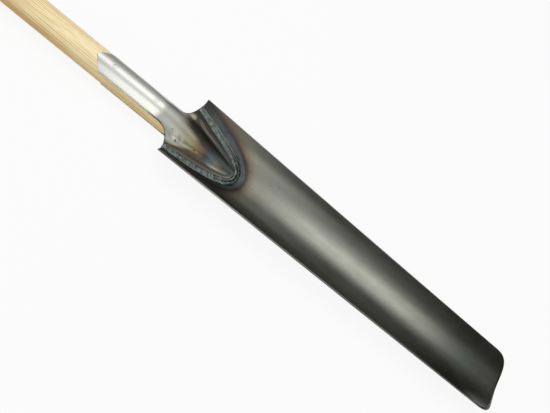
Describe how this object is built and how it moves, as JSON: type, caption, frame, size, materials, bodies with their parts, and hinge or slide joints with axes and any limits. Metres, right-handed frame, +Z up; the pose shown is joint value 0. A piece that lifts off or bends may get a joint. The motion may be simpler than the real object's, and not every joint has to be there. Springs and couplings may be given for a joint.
{
  "type": "trenching spade",
  "caption": "Long narrow trenching spade: trough-shaped steel blade, riveted straps with a welded tongue, ash shaft and a turned T-grip.",
  "frame": {"origin": "under the middle of the tool's box, on the surface that the tool lies on", "axes": "+X along the shaft to the blade's tip, +Z up out of the blade's hollow face, +Y along the grip"},
  "size_m": [1.2366, 0.131, 0.0384],
  "materials": {
    "blade_steel": "bare satin steel, heat tinted beside the weld",
    "strap_steel": "polished on the strap, heat tinted towards the tongue's tip",
    "weld_metal": "rippled weld bead",
    "shaft_ash": "sanded and sealed",
    "grip_ash": "turned, sanded and sealed",
    "wedge_wood": "sawn",
    "pin_steel": "plain",
    "rivet_steel": "ground flush"
  },
  "bodies": {
    "root": {"blade": "blade_steel", "front_strap": "strap_steel", "weld_left": "weld_metal", "weld_right": "weld_metal", "weld_tip": "weld_metal", "shaft": "shaft_ash", "grip": "grip_ash", "tenon_wedge": "wedge_wood", "grip_pin": "pin_steel", "rivet_upper": "rivet_steel", "rivet_lower": "rivet_steel"}
  },
  "joints": []
}
